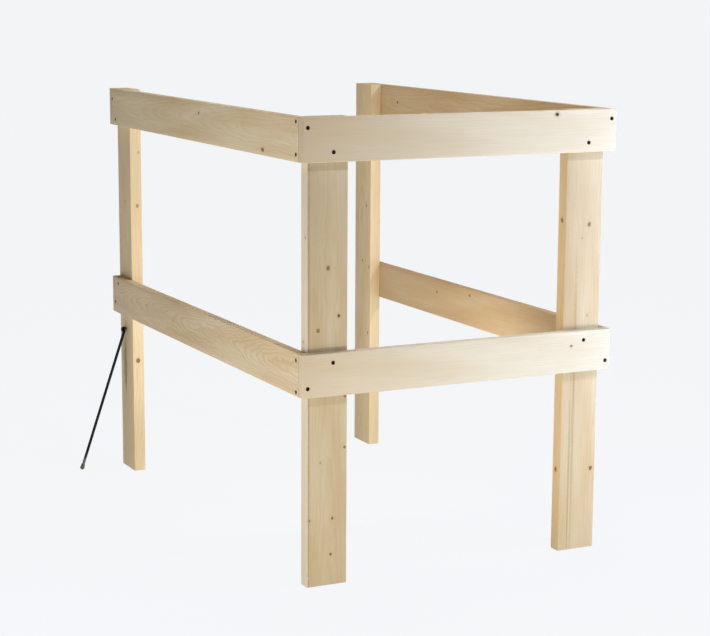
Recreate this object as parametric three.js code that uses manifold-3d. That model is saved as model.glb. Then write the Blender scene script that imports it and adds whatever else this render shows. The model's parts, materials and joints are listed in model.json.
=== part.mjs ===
// Timber stand for a top bar hive: four legs, six rails screwed to them, an open back, and a hinged steel
// ground stay on the left back leg. Millimetres, +Z up, the hive's length along Y, the closed end at -Y.
// The origin is on the ground, under the middle of the whole object, with the stay set down.

import * as THREE from "three";
import { mergeVertices } from "three/addons/utils/BufferGeometryUtils.js";
import Module from "manifold-3d";

const wasm = await Module();
wasm.setup();

// Driving dimensions.
const STAND_WIDTH = 730; // over the side rails, along X
const STAND_LENGTH = 1150; // from the front rails' faces to the back legs, along Y
const STAND_HEIGHT = 960;
const LOWER_RAIL_HEIGHT = 400; // ground to the lower rails' under edges
const RAIL_THICKNESS = 19;
const RAIL_DEPTH = 89;
const LEG_THICKNESS = 28.5;
const LEG_WIDTH = 89;
const EASED_EDGE = 2; // radius planed along every long edge
const EASED_EDGE_STEPS = 3;
const FIT_GAP = 0.3; // between boards that bear on each other, and round each screw

// Countersunk wood screws.
const SCREW_LENGTH = 45;
const SCREW_HEAD_RADIUS = 4.1;
const SCREW_HEAD_HEIGHT = 2.8;
const SCREW_SHANK_RADIUS = 2.1;
const SCREW_POINT_LENGTH = 6;
const SCREW_SUNK = 0.6; // the head lies this far under the face
const SCREW_SIDES = 12;
const DRILL_PROUD = 1; // a hole's cutter starts this far outside the face

// Where the screws go. Outer means towards the end of the board, or towards the top edge of an upper rail
// and the under edge of a lower one; inner means the other way.
const FRONT_RAIL_SCREWS = [
  { name: "end", fromEnd: 12, outer: true, fromEdge: 20 },
  { name: "leg", fromEnd: 68, outer: false, fromEdge: 20 },
];
const SIDE_RAIL_FRONT_SCREWS = [
  { name: "front_outer", fromEnd: 12, outer: true, fromEdge: 9 },
  { name: "front_inner", fromEnd: 12, outer: false, fromEdge: 15 },
];
const SIDE_RAIL_BACK_SCREWS = [
  { name: "back_outer", fromEnd: 18, outer: true, fromEdge: 26 },
  { name: "back_inner", fromEnd: 40, outer: false, fromEdge: 14 },
];

// Ground stay: a bent rod that swings on a screw eye and stands on a rubber foot.
const STAY_HINGE_HEIGHT = 358;
const STAY_REACH = 116; // leg's outer face to the middle of the foot
const STAY_SPLAY = 31.5; // the foot stands this far behind the rod's bend
const STAY_ROD_RADIUS = 3.5;
const STAY_BEND_RADIUS = 7;
const STAY_BEND_STEPS = 12;
const STAY_SIDES = 12;
const STAY_BESIDE_EYE = 2; // clear space between the hanging rod and the eye's wire
const EYE_STANDOFF = 8.2; // leg's outer face to the middle of the eye
const EYE_HOLE_RADIUS = 4.2;
const EYE_WIRE_RADIUS = 1.5;
const EYE_SHANK_LENGTH = 22; // inside the leg
const EYE_SIDES = 20;
const EYE_WIRE_SIDES = 8;
const PINTLE_PAST_EYE = 7; // the bent end beyond the eye's middle
const PUSH_NUT_RADIUS = 5.6;
const PUSH_NUT_THICKNESS = 2.4;
const PUSH_NUT_RIM = 0.8;
const FOOT_RADIUS = 5.5;
const FOOT_SLEEVE = 9; // how far the foot grips up the rod
const FOOT_SLEEVE_WALL = 1.2;
const FOOT_BALL_STEPS = 6;
const FOOT_BALL_END = Math.PI / 5; // the ball gives way to the sleeve this far above its middle

const MERGE_DISTANCE = 1e-4;

const TIMBER_FINISH = { roughness: 0.7, metalness: 0 };
const RAIL_FINISH = { color: 0xdcc9a4, ...TIMBER_FINISH };
const LEG_FINISH = { color: 0xd9bd90, ...TIMBER_FINISH };
const SCREW_FINISH = { color: 0x2b2724, roughness: 0.5, metalness: 0.7 };
const STAY_FINISH = { color: 0x141a1a, roughness: 0.45, metalness: 0.4 };
const FOOT_FINISH = { color: 0x4d453b, roughness: 0.85, metalness: 0 };

const X = new THREE.Vector3(1, 0, 0);
const Y = new THREE.Vector3(0, 1, 0);
const Z = new THREE.Vector3(0, 0, 1);

const stand = new THREE.Group();

// A closed geometry as a solid, placed by a matrix.
function solidOf(geometry, matrix = new THREE.Matrix4()) {
  const bare = new THREE.BufferGeometry().setIndex(geometry.index);
  bare.setAttribute("position", geometry.getAttribute("position").clone());
  const merged = mergeVertices(bare.applyMatrix4(matrix), MERGE_DISTANCE);
  return new wasm.Manifold(
    new wasm.Mesh({
      numProp: 3,
      vertProperties: merged.attributes.position.array,
      triVerts: new Uint32Array(merged.index.array),
    }),
  );
}

// A solid back as a geometry, flat shaded.
function geometryOf(solid) {
  const mesh = solid.getMesh();
  const geometry = new THREE.BufferGeometry();
  geometry.setAttribute("position", new THREE.BufferAttribute(mesh.vertProperties, 3));
  geometry.setIndex(new THREE.BufferAttribute(mesh.triVerts, 1));
  const faceted = geometry.toNonIndexed();
  faceted.computeVertexNormals();
  return faceted;
}

function addMesh(parent, name, geometry, finish) {
  const mesh = new THREE.Mesh(geometry, new THREE.MeshStandardMaterial(finish));
  mesh.name = name;
  parent.add(mesh);
  return mesh;
}

// A solid of revolution about Y from [radius, height] pairs that start and end on the axis, top first.
function turned(profile, sides) {
  const points = profile.map(([radius, height]) => new THREE.Vector2(radius, height));
  return new THREE.LatheGeometry(points.reverse(), sides);
}

// ---- Boards ------------------------------------------------------------------------------------------

// A planed board centred on its origin: thickness along X, width along Y, length along Z.
function boardGeometry(thickness, width, length) {
  const x = thickness / 2 - EASED_EDGE;
  const y = width / 2 - EASED_EDGE;
  const section = new THREE.Shape();
  section.absarc(x, y, EASED_EDGE, 0, Math.PI / 2);
  section.absarc(-x, y, EASED_EDGE, Math.PI / 2, Math.PI);
  section.absarc(-x, -y, EASED_EDGE, Math.PI, 1.5 * Math.PI);
  section.absarc(x, -y, EASED_EDGE, 1.5 * Math.PI, 2 * Math.PI);
  const prism = new THREE.ExtrudeGeometry(section, {
    depth: length,
    bevelEnabled: false,
    curveSegments: EASED_EDGE_STEPS,
  });
  return prism.translate(0, 0, -length / 2);
}

// One board: its three sizes, its middle, and the directions its thickness, width and length run in.
function addBoard(name, [thickness, width, length], middle, [across, wide, along], finish) {
  const board = addMesh(stand, name, boardGeometry(thickness, width, length), finish);
  board.position.copy(middle);
  board.quaternion.setFromRotationMatrix(new THREE.Matrix4().makeBasis(across, wide, along));
  return board;
}

const halfWidth = STAND_WIDTH / 2;
const halfLength = STAND_LENGTH / 2;
const legOuterFace = halfWidth - RAIL_THICKNESS - FIT_GAP; // distance from the middle plane
const behindFrontRails = -halfLength + RAIL_THICKNESS + FIT_GAP; // Y of what bears on them
const sideRailLength = halfLength - behindFrontRails;
const sides = [
  { side: "left", sign: -1 },
  { side: "right", sign: 1 },
];
const levels = [
  { level: "upper", underEdge: STAND_HEIGHT - RAIL_DEPTH, outward: 1 },
  { level: "lower", underEdge: LOWER_RAIL_HEIGHT, outward: -1 },
];

const boards = {};
for (const { level, underEdge } of levels) {
  const z = underEdge + RAIL_DEPTH / 2;
  const name = `rail_front_${level}`;
  boards[name] = addBoard(
    name,
    [RAIL_THICKNESS, RAIL_DEPTH, STAND_WIDTH],
    new THREE.Vector3(0, -halfLength + RAIL_THICKNESS / 2, z),
    [Y, Z, X],
    RAIL_FINISH,
  );
  for (const { side, sign } of sides) {
    const sideName = `rail_${side}_${level}`;
    boards[sideName] = addBoard(
      sideName,
      [RAIL_THICKNESS, RAIL_DEPTH, sideRailLength],
      new THREE.Vector3(sign * (halfWidth - RAIL_THICKNESS / 2), halfLength - sideRailLength / 2, z),
      [X.clone().negate(), Z, Y],
      RAIL_FINISH,
    );
  }
}

// The front legs stand flat behind the front rails; the back legs are turned edge on, inside the side rails.
for (const { side, sign } of sides) {
  const front = `leg_front_${side}`;
  const back = `leg_back_${side}`;
  const size = [LEG_THICKNESS, LEG_WIDTH, STAND_HEIGHT];
  const frontX = sign * (legOuterFace - LEG_WIDTH / 2);
  const backX = sign * (legOuterFace - LEG_THICKNESS / 2);
  boards[front] = addBoard(
    front,
    size,
    new THREE.Vector3(frontX, behindFrontRails + LEG_THICKNESS / 2, STAND_HEIGHT / 2),
    [Y, X.clone().negate(), Z],
    LEG_FINISH,
  );
  boards[back] = addBoard(
    back,
    size,
    new THREE.Vector3(backX, halfLength - LEG_WIDTH / 2, STAND_HEIGHT / 2),
    [X, Y, Z],
    LEG_FINISH,
  );
}

// ---- Screws ------------------------------------------------------------------------------------------

// The screw points along -Y with its head's top at the origin.
const screwGeometry = turned(
  [
    [0, 0],
    [SCREW_HEAD_RADIUS, 0],
    [SCREW_SHANK_RADIUS, -SCREW_HEAD_HEIGHT],
    [SCREW_SHANK_RADIUS, SCREW_POINT_LENGTH - SCREW_LENGTH],
    [0, -SCREW_LENGTH],
  ],
  SCREW_SIDES,
);

// The hole it leaves: countersunk, open at the face, and clear of the screw all round.
const holeGeometry = turned(
  [
    [0, SCREW_SUNK + DRILL_PROUD],
    [SCREW_HEAD_RADIUS + FIT_GAP, SCREW_SUNK + DRILL_PROUD],
    [SCREW_HEAD_RADIUS + FIT_GAP, 0],
    [SCREW_SHANK_RADIUS + FIT_GAP, -SCREW_HEAD_HEIGHT],
    [SCREW_SHANK_RADIUS + FIT_GAP, SCREW_POINT_LENGTH - SCREW_LENGTH],
    [0, -SCREW_LENGTH - 2 * FIT_GAP],
  ],
  SCREW_SIDES,
);

const cuts = new Map(); // for each board's name, the holes' geometries and places in the stand's frame

function cutLater(boardName, geometry, matrix) {
  const list = cuts.get(boardName) ?? [];
  cuts.set(boardName, [...list, { geometry, matrix }]);
}

// A screw driven at a point of a face along a direction, through the boards it holds together.
function addScrew(name, facePoint, direction, boardNames) {
  const screw = addMesh(stand, name, screwGeometry, SCREW_FINISH);
  screw.position.copy(facePoint).addScaledVector(direction, SCREW_SUNK);
  screw.quaternion.setFromUnitVectors(Y.clone().negate(), direction);
  screw.updateMatrix();
  for (const board of boardNames) cutLater(board, holeGeometry, screw.matrix);
}

function screwHeight({ underEdge, outward }, { outer, fromEdge }) {
  const towardsTop = outer === outward > 0;
  return towardsTop ? underEdge + RAIL_DEPTH - fromEdge : underEdge + fromEdge;
}

for (const level of levels) {
  for (const { side, sign } of sides) {
    const frontRail = `rail_front_${level.level}`;
    const sideRail = `rail_${side}_${level.level}`;
    for (const place of FRONT_RAIL_SCREWS) {
      const held = place.name === "end" ? sideRail : `leg_front_${side}`;
      const point = new THREE.Vector3(
        sign * (halfWidth - place.fromEnd),
        -halfLength,
        screwHeight(level, place),
      );
      addScrew(`screw_front_${level.level}_${side}_${place.name}`, point, Y, [frontRail, held]);
    }
    const inward = X.clone().multiplyScalar(-sign);
    for (const place of SIDE_RAIL_FRONT_SCREWS) {
      const point = new THREE.Vector3(
        sign * halfWidth,
        behindFrontRails + place.fromEnd,
        screwHeight(level, place),
      );
      addScrew(`screw_${side}_${level.level}_${place.name}`, point, inward, [sideRail, `leg_front_${side}`]);
    }
    for (const place of SIDE_RAIL_BACK_SCREWS) {
      const point = new THREE.Vector3(
        sign * halfWidth,
        halfLength - place.fromEnd,
        screwHeight(level, place),
      );
      addScrew(`screw_${side}_${level.level}_${place.name}`, point, inward, [sideRail, `leg_back_${side}`]);
    }
  }
}

// ---- Ground stay -------------------------------------------------------------------------------------

// The hinge is the middle of the eye. The rod's bend lies beside the eye, on its front side.
const besideEye = -(EYE_WIRE_RADIUS + STAY_ROD_RADIUS + STAY_BESIDE_EYE); // Y of the bend, from the hinge
const hinge = new THREE.Vector3(
  -legOuterFace - EYE_STANDOFF,
  halfLength - LEG_WIDTH / 2,
  STAY_HINGE_HEIGHT,
);
const hingeToFoot = new THREE.Vector3(
  EYE_STANDOFF - STAY_REACH,
  besideEye + STAY_SPLAY,
  FOOT_RADIUS + FIT_GAP / 2 - STAY_HINGE_HEIGHT,
);

const stay = new THREE.Group();
stay.position.copy(hinge);
stand.add(stay);

// The eye: a wire ring standing in the XZ plane, with a pointed shank into the leg.
const eyeRadius = EYE_HOLE_RADIUS + EYE_WIRE_RADIUS;
const ring = new THREE.TorusGeometry(eyeRadius, EYE_WIRE_RADIUS, EYE_WIRE_SIDES, EYE_SIDES);
const shankEnd = EYE_STANDOFF + EYE_SHANK_LENGTH;
const shank = turned(
  [
    [0, -eyeRadius],
    [EYE_WIRE_RADIUS, -eyeRadius],
    [EYE_WIRE_RADIUS, SCREW_POINT_LENGTH - shankEnd],
    [0, -shankEnd],
  ],
  EYE_WIRE_SIDES,
);
const shankHole = turned(
  [
    [0, -eyeRadius],
    [EYE_WIRE_RADIUS + FIT_GAP, -eyeRadius],
    [EYE_WIRE_RADIUS + FIT_GAP, SCREW_POINT_LENGTH - shankEnd],
    [0, -shankEnd - 2 * FIT_GAP],
  ],
  EYE_WIRE_SIDES,
);
const intoLeg = new THREE.Matrix4().makeRotationZ(Math.PI / 2); // -Y to +X
const flatRing = new THREE.Matrix4().makeRotationX(Math.PI / 2); // the ring's axis from Z to Y
const eye = solidOf(ring, flatRing).add(solidOf(shank, intoLeg));
addMesh(stay, "stay_screw_eye", geometryOf(eye), STAY_FINISH);
cutLater("leg_back_left", shankHole, new THREE.Matrix4().makeTranslation(hinge).multiply(intoLeg));

// The swinging pieces, drawn hanging under the hinge and then swung out to where the foot stands.
const swing = new THREE.Group();
swing.rotation.y = Math.atan2(-hingeToFoot.x, -hingeToFoot.z);
stay.add(swing);

const corner = new THREE.Vector3(0, besideEye, 0); // where the pintle's line meets the straight rod's
const straightRod = new THREE.Vector3(0, STAY_SPLAY, -Math.hypot(hingeToFoot.x, hingeToFoot.z));
const rodLength = straightRod.length();
const downRod = straightRod.clone().normalize();
const upRodTurn = new THREE.Quaternion().setFromUnitVectors(Y, downRod.clone().negate());
const alongRod = (distance) => corner.clone().addScaledVector(downRod, distance);

// The bend and a little of the straight rod are swept; a plain cylinder overlaps them and goes on down.
const bendStart = new THREE.Vector3(0, besideEye + STAY_BEND_RADIUS, 0);
const bendEnd = alongRod(STAY_BEND_RADIUS);
const bendPath = new THREE.CurvePath();
bendPath.add(new THREE.LineCurve3(new THREE.Vector3(0, PINTLE_PAST_EYE, 0), bendStart));
bendPath.add(new THREE.QuadraticBezierCurve3(bendStart, corner, bendEnd));
bendPath.add(new THREE.LineCurve3(bendEnd, alongRod(2 * STAY_BEND_RADIUS)));
const bend = new THREE.ExtrudeGeometry(new THREE.Shape().absarc(0, 0, STAY_ROD_RADIUS, 0, 2 * Math.PI), {
  steps: STAY_BEND_STEPS,
  curveSegments: STAY_SIDES,
  extrudePath: bendPath,
});
const straightStart = 1.5 * STAY_BEND_RADIUS;
const straight = new THREE.CylinderGeometry(
  STAY_ROD_RADIUS,
  STAY_ROD_RADIUS,
  rodLength - straightStart,
  STAY_SIDES,
);
const straightPlace = new THREE.Matrix4().compose(
  alongRod((rodLength + straightStart) / 2),
  upRodTurn,
  new THREE.Vector3(1, 1, 1),
);
addMesh(swing, "stay_rod", geometryOf(solidOf(bend).add(solidOf(straight, straightPlace))), STAY_FINISH);

// A push nut on the bent end keeps the rod in the eye.
const nutOuter = turned(
  [
    [0, 0],
    [PUSH_NUT_RADIUS, 0],
    [PUSH_NUT_RADIUS, -PUSH_NUT_RIM],
    [STAY_ROD_RADIUS, -PUSH_NUT_THICKNESS],
    [0, -PUSH_NUT_THICKNESS],
  ],
  STAY_SIDES,
);
const bore = STAY_ROD_RADIUS + FIT_GAP;
const nutBore = new THREE.CylinderGeometry(bore, bore, 3 * PUSH_NUT_THICKNESS, STAY_SIDES);
const nutGeometry = geometryOf(solidOf(nutOuter).subtract(solidOf(nutBore)));
const nut = addMesh(swing, "stay_push_nut", nutGeometry, STAY_FINISH);
nut.position.y = PINTLE_PAST_EYE - FIT_GAP;

// The foot: a rubber ball with a sleeve that grips the rod's end.
const ball = new THREE.Path().absarc(0, 0, FOOT_RADIUS, -Math.PI / 2, FOOT_BALL_END);
const ballOutline = ball.getPoints(FOOT_BALL_STEPS).slice(1).reverse(); // all but the lowest point
const footOuter = turned(
  [
    [0, FOOT_SLEEVE],
    [STAY_ROD_RADIUS + FOOT_SLEEVE_WALL, FOOT_SLEEVE],
    ...ballOutline.map((point) => [point.x, point.y]),
    [0, -FOOT_RADIUS],
  ],
  STAY_SIDES,
);
const footBore = new THREE.CylinderGeometry(bore, bore, 2 * FOOT_SLEEVE, STAY_SIDES);
footBore.translate(0, FOOT_SLEEVE - FIT_GAP, 0); // open at the top, and just clear of the rod's end
const footGeometry = geometryOf(solidOf(footOuter).subtract(solidOf(footBore)));
const foot = addMesh(swing, "stay_foot", footGeometry, FOOT_FINISH);
foot.position.copy(alongRod(rodLength));
foot.quaternion.copy(upRodTurn);

// ---- Drill the boards, and set the origin ------------------------------------------------------------

for (const [boardName, places] of cuts) {
  const board = boards[boardName];
  board.updateMatrix();
  const toBoard = board.matrix.clone().invert();
  const drilled = places.reduce(
    (solid, { geometry, matrix }) => solid.subtract(solidOf(geometry, toBoard.clone().multiply(matrix))),
    solidOf(board.geometry),
  );
  board.geometry = geometryOf(drilled);
}

stand.updateMatrixWorld(true);
const extent = new THREE.Box3().setFromObject(stand, true);
const origin = extent.getCenter(new THREE.Vector3()).setZ(0);
stand.position.sub(origin);

const object = new THREE.Group();
object.add(stand);

export default object;
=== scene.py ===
"""Top bar hive stand: planed spruce boards, dark wood screws and a black steel ground stay.

The stand is four legs and six rails screwed together, open at the back. The ground stay is a bent rod that
swings on a screw eye in the left back leg and stands on a rubber foot. Every piece is built here around the
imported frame: its size and place come from the node it stands for.
"""

import json
import logging
import math
import random
from dataclasses import dataclass, field
from enum import Enum
from typing import Any, Callable, Sequence

import bmesh
import bpy
from mathutils import Matrix, Vector


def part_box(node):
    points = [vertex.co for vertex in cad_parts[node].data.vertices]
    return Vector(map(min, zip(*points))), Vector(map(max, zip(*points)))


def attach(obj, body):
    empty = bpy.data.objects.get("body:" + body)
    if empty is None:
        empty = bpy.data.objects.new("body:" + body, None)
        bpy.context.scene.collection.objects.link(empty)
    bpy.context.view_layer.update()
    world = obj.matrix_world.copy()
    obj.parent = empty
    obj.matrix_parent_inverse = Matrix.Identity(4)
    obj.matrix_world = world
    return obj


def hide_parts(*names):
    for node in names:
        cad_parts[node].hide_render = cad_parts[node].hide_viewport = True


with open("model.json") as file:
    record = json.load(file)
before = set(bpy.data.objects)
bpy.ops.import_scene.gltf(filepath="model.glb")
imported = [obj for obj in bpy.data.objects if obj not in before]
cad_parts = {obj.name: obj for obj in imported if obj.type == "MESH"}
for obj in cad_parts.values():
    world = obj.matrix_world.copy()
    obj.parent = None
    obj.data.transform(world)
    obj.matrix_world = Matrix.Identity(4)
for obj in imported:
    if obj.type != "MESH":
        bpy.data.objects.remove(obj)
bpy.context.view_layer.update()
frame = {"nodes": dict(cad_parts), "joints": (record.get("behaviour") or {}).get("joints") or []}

log = logging.getLogger("hive_stand")

MM = 0.001
TOUCHING = 0.01 * MM  # points nearer each other than this are one point
FRAME_BODY = "frame"
STAY_BODY = "stay"
SCREW_SEED = 11  # for the turns of the screws' recesses


# ---- Choices -----------------------------------------------------------------------------------------


class Facing(Enum):
    """The way a board's screwed face looks, as a unit vector."""

    FRONT = (0.0, -1.0, 0.0)
    LEFT = (-1.0, 0.0, 0.0)
    RIGHT = (1.0, 0.0, 0.0)

    @property
    def vector(self) -> Vector:
        """The direction as a Vector."""
        return Vector(self.value)


class Through(Enum):
    """The faces of a board that a knot's branch comes out of."""

    WIDE = "wide"
    EDGE = "edge"


class Cut(Enum):
    """How a board was sawn: how far the pith lies from its middle, through and across it, in mm."""

    FLAT = (62.0, 8.0)
    RIFT = (55.0, 70.0)


# ---- Modelling by hand -------------------------------------------------------------------------------


def deselect_all() -> None:
    """Leaves object mode with nothing selected."""
    if bpy.context.object and bpy.context.object.mode != "OBJECT":
        bpy.ops.object.mode_set(mode="OBJECT")
    bpy.ops.object.select_all(action="DESELECT")


def make_active(piece: bpy.types.Object) -> None:
    """Selects one object alone and makes it active.

    Args:
        piece: the object to select.
    """
    deselect_all()
    piece.select_set(True)
    bpy.context.view_layer.objects.active = piece


def apply_place(piece: bpy.types.Object) -> None:
    """Moves an object's place, turn and scale into its mesh."""
    make_active(piece)
    bpy.ops.object.transform_apply(location=True, rotation=True, scale=True)


def apply_modifiers(piece: bpy.types.Object) -> None:
    """Applies every modifier on a piece, in order.

    Args:
        piece: the object that carries them.
    """
    make_active(piece)
    for modifier in list(piece.modifiers):
        bpy.ops.object.modifier_apply(modifier=modifier.name)


def name_piece(piece: bpy.types.Object, name: str) -> bpy.types.Object:
    """Names an object and its mesh alike.

    Args:
        piece: the object to name.
        name: the new name.

    Returns:
        The same object.
    """
    piece.name = name
    piece.data.name = name
    return piece


def box_between(name: str, low: Vector, high: Vector) -> bpy.types.Object:
    """Adds a box that fills the space between two corners.

    Args:
        name: the object's name.
        low: the lowest corner, in metres.
        high: the highest corner, in metres.

    Returns:
        The box, with its place in its mesh.
    """
    deselect_all()
    bpy.ops.mesh.primitive_cube_add(size=1.0, location=(low + high) / 2)
    piece = bpy.context.object
    piece.scale = high - low
    apply_place(piece)
    return name_piece(piece, name)


def turned_shape(name: str, outline: Sequence[tuple[float, float]], sides: int) -> bpy.types.Object:
    """Spins an outline round the Z axis, as on a lathe.

    Args:
        name: the object's name.
        outline: (radius, height) pairs in metres, starting and ending on the axis.
        sides: how many sides the round has.

    Returns:
        A closed mesh round Z.
    """
    deselect_all()
    bpy.ops.mesh.primitive_plane_add(size=MM, location=(0, 0, 0))
    piece = bpy.context.object
    bpy.ops.object.mode_set(mode="EDIT")
    bpy.ops.mesh.select_all(action="SELECT")
    bpy.ops.mesh.merge(type="CENTER")
    radius, height = outline[0]
    bpy.ops.transform.translate(value=(radius, 0, height))
    for (radius, height), (next_radius, next_height) in zip(outline, outline[1:]):
        step = (next_radius - radius, 0, next_height - height)
        bpy.ops.mesh.extrude_region_move(TRANSFORM_OT_translate={"value": step})
    bpy.ops.mesh.select_all(action="SELECT")
    bpy.ops.mesh.spin(steps=sides, angle=2 * math.pi, center=(0, 0, 0), axis=(0, 0, 1))
    bpy.ops.mesh.select_all(action="SELECT")
    bpy.ops.mesh.remove_doubles(threshold=TOUCHING)
    bpy.ops.mesh.normals_make_consistent(inside=False)
    bpy.ops.object.mode_set(mode="OBJECT")
    return name_piece(piece, name)


def cut_away(piece: bpy.types.Object, tools: Sequence[bpy.types.Object]) -> None:
    """Cuts tools out of a piece and removes them.

    Args:
        piece: the object that is cut.
        tools: closed shapes to take away; none may overlap another.
    """
    if not tools:
        return
    deselect_all()
    for tool in tools:
        tool.select_set(True)
    bpy.context.view_layer.objects.active = tools[0]
    if len(tools) > 1:
        bpy.ops.object.join()
    tool = bpy.context.object
    cut = piece.modifiers.new("cut", "BOOLEAN")
    cut.operation = "DIFFERENCE"
    cut.solver = "EXACT"
    cut.object = tool
    apply_modifiers(piece)
    bpy.data.objects.remove(tool)


def join_to(piece: bpy.types.Object, other: bpy.types.Object) -> None:
    """Joins another closed shape to a piece as one solid, and removes the other.

    Args:
        piece: the object that grows.
        other: the shape that is joined to it.
    """
    join = piece.modifiers.new("join", "BOOLEAN")
    join.operation = "UNION"
    join.solver = "EXACT"
    join.object = other
    apply_modifiers(piece)
    bpy.data.objects.remove(other)


def copy_piece(piece: bpy.types.Object, name: str, matrix: Matrix) -> bpy.types.Object:
    """Copies a piece with its own mesh to another place.

    Args:
        piece: the pattern.
        name: the copy's name.
        matrix: where the copy goes.

    Returns:
        The copy, with its place in its mesh.
    """
    copy = piece.copy()
    copy.data = piece.data.copy()
    bpy.context.scene.collection.objects.link(copy)
    copy.data.transform(matrix)
    return name_piece(copy, name)


def smooth(piece: bpy.types.Object, degrees: float = 35.0) -> None:
    """Shades a piece smooth, with an edge wherever its faces turn by more than an angle."""
    make_active(piece)
    bpy.ops.object.shade_smooth_by_angle(angle=math.radians(degrees))


def select_vertices(piece: bpy.types.Object, wanted: Callable[[bmesh.types.BMVert], bool]) -> None:
    """Selects, in edit mode, the vertices that a test picks.

    Args:
        piece: the object in edit mode.
        wanted: says whether to select a vertex.
    """
    mesh = bmesh.from_edit_mesh(piece.data)
    for vertex in mesh.verts:
        vertex.select_set(wanted(vertex))
    mesh.select_flush_mode()
    bmesh.update_edit_mesh(piece.data)


def select_edges(piece: bpy.types.Object, wanted: Callable[[bmesh.types.BMEdge], bool]) -> None:
    """Selects, in edit mode, the edges that a test picks.

    Args:
        piece: the object in edit mode.
        wanted: says whether to select an edge.
    """
    mesh = bmesh.from_edit_mesh(piece.data)
    for edge in mesh.edges:
        edge.select_set(wanted(edge))
    mesh.select_flush_mode()
    bmesh.update_edit_mesh(piece.data)


# ---- Finishes ----------------------------------------------------------------------------------------


def linear(hex_colour: str) -> tuple[float, float, float, float]:
    """Turns an sRGB hex colour into linear RGBA.

    Args:
        hex_colour: a colour such as "#DCC9A4".

    Returns:
        Linear red, green, blue, and an alpha of 1.
    """
    channels = [int(hex_colour.lstrip("#")[i : i + 2], 16) / 255 for i in (0, 2, 4)]
    red, green, blue = (
        c / 12.92 if c <= 0.04045 else ((c + 0.055) / 1.055) ** 2.4 for c in channels
    )
    return red, green, blue, 1.0


def add_node(
    tree: bpy.types.NodeTree,
    kind: str,
    settings: dict[str, Any] | None = None,
    inputs: dict[Any, Any] | None = None,
) -> bpy.types.Node:
    """Adds a node with its settings, and fills or links its inputs.

    Args:
        tree: the material's or world's node tree.
        kind: the node's type, without the "ShaderNode" at its front.
        settings: the node's own properties.
        inputs: for each socket, a value, or another node's socket to link from.

    Returns:
        The new node.
    """
    node = tree.nodes.new("ShaderNode" + kind)
    for name, value in (settings or {}).items():
        setattr(node, name, value)
    for socket, value in (inputs or {}).items():
        if isinstance(value, bpy.types.NodeSocket):
            tree.links.new(value, node.inputs[socket])
        else:
            node.inputs[socket].default_value = value
    return node


def new_material(name: str) -> tuple[bpy.types.Material, bpy.types.NodeTree, bpy.types.Node]:
    """Starts a material that holds one Principled shader.

    Args:
        name: the material's name.

    Returns:
        The material, its node tree and its Principled node.
    """
    material = bpy.data.materials.new(name)
    material.use_nodes = True
    tree = material.node_tree
    return material, tree, tree.nodes["Principled BSDF"]


def board_scale(across_mm: float, along_mm: float) -> tuple[float, float, float]:
    """The scale that makes a pattern so wide through and across a board, and so long along it."""
    return 1 / across_mm, 1 / across_mm, 1 / along_mm


@dataclass(frozen=True)
class Knot:
    """A branch cut through by a board.

    Attributes:
        along: its place along the board from the board's lowest end, in mm.
        across: its place across the faces it comes out of, from their lowest edge, in mm.
        radius: its radius, in mm.
        through: the faces it comes out of.
        tone: how dark it is: 0 for a buried knot that only swirls the grain, 1 for a sound brown one,
            and up to 2 for a dead black one.
        stretch: how many times longer than wide it is, along the board.
    """

    along: float
    across: float
    radius: float = 4.0
    through: Through = Through.WIDE
    tone: float = 0.9
    stretch: float = 1.2


@dataclass(frozen=True)
class Grain:
    """How the grain runs in one board.

    Attributes:
        cut: how the board was sawn from the log.
        ring_mm: the mean width of a year's ring.
        taper: how fast the rings climb to the surface along the board, as a slope.
        waver_mm: how far the rings wander from straight over a hand's width.
        ripple_mm: how far they wander over a thumb's width.
        knots: the branches the board was cut through.
        edge_wood_and_light_colour: a colour laid over the board's lowest narrow face: heartwood showing
            there on the right front leg, and on the left front leg a paler tone that is painted light.
        edge_wood_and_light_amount: how strongly it shows, from 0 to 1.
        dark_end: how much painted shade, in the latewood's colour, lies over the board's lowest end, from 0
            to 1.
        seed: shifts where the rings wander, so that no two boards are alike.
    """

    cut: Cut = Cut.RIFT
    ring_mm: float = 3.4
    taper: float = 0.012
    waver_mm: float = 5.0
    ripple_mm: float = 3.0
    knots: tuple[Knot, ...] = ()
    edge_wood_and_light_colour: str = "#C09A62"
    edge_wood_and_light_amount: float = 0.0
    dark_end: float = 0.0
    seed: float = 0.0


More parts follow.
